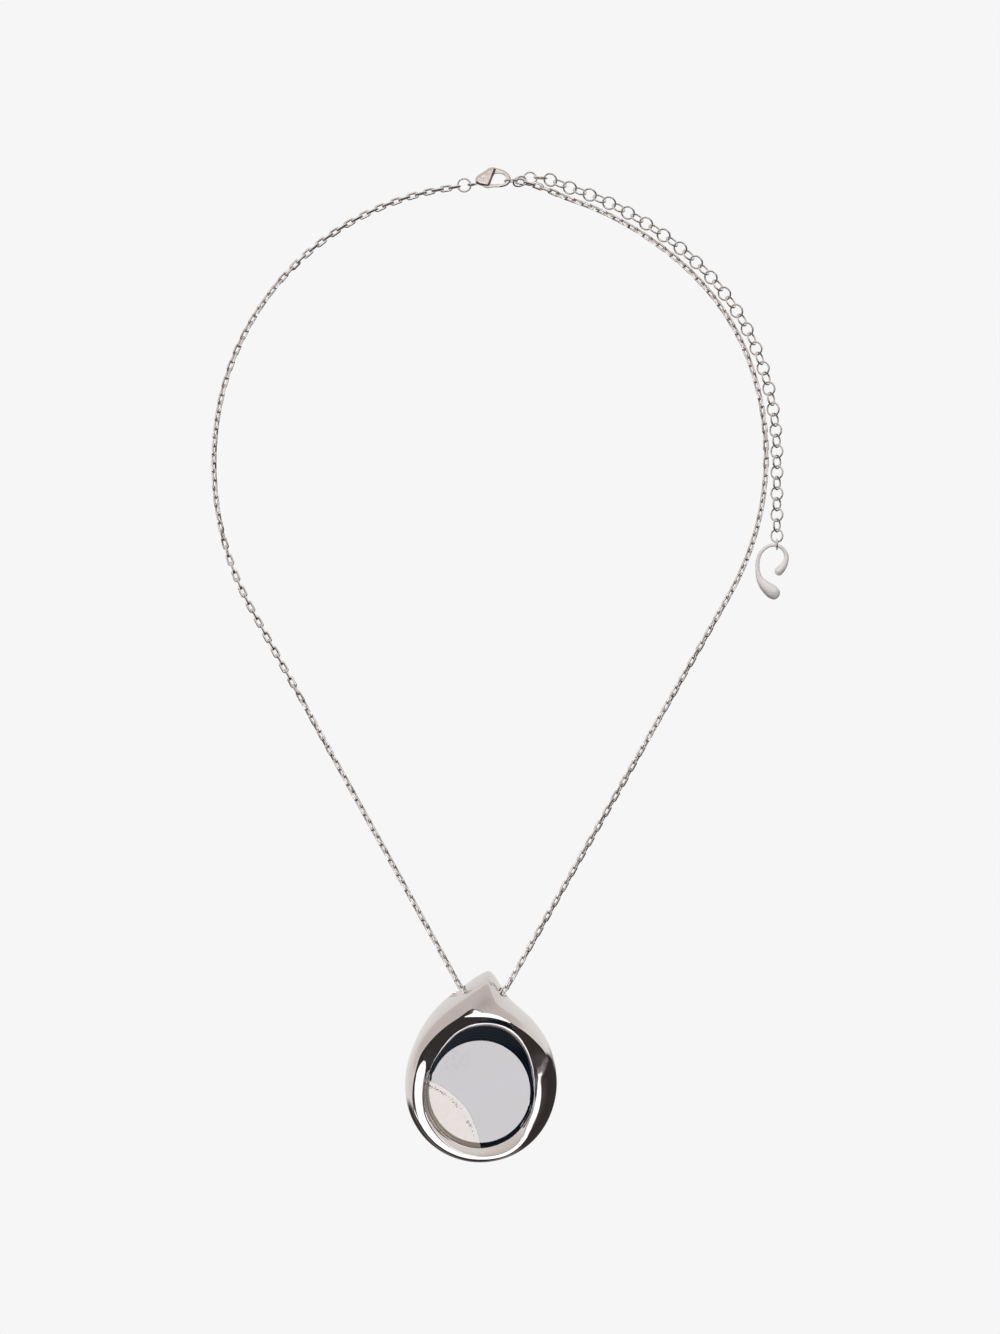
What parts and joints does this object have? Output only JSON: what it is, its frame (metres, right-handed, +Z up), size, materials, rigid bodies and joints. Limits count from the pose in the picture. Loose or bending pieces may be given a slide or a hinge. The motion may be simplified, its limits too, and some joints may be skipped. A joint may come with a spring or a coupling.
{
  "type": "pendant necklace",
  "caption": "Domed silver teardrop frame with an inlaid bevelled agate on a fine cable chain, with a hinged claw clasp, an extender of round links and a small curled charm.",
  "frame": {"origin": "top of the chain's loop, on its middle line, where the back of a neck or a hook carries it", "axes": "+X to the wearer's left as seen from the front, across the loop; +Y to the back of the pendant, away from the viewer; +Z up, along the hanging necklace"},
  "size_m": [0.1561, 0.0078, 0.2684],
  "materials": {
    "polished_silver": "mirror-polished rhodium-plated silver colour",
    "agate": "polished banded agate, navy with a cream patch at the lower left",
    "chain_silver": "polished plated wire",
    "satin_silver": "softly worn polish",
    "bright_silver": "bright polish"
  },
  "bodies": {
    "necklace": {"chain_left": "chain_silver", "chain_right": "chain_silver", "clasp_ring": "chain_silver", "clasp_body": "satin_silver", "hook_ring": "chain_silver", "extender_chain": "chain_silver", "charm_ring": "chain_silver", "end_charm": "bright_silver"},
    "pendant": {"pendant_frame": "polished_silver", "agate_stone": "agate"},
    "lever": {"clasp_lever": "satin_silver"}
  },
  "joints": [
    {"name": "pendant_swing", "type": "hinge", "parent": "necklace", "child": "pendant", "pos_m": [-0.00172, 0, -0.2195], "axis": [1, 0, 0], "range_deg": [-60, 60]},
    {"name": "lever_press", "type": "hinge", "parent": "necklace", "child": "lever", "pos_m": [-0.00148, 0, -0.001], "axis": [0, -1, 0], "range_deg": [0, 20], "stiffness_Nm_per_rad": 0.006, "springref_deg": -17.19}
  ]
}
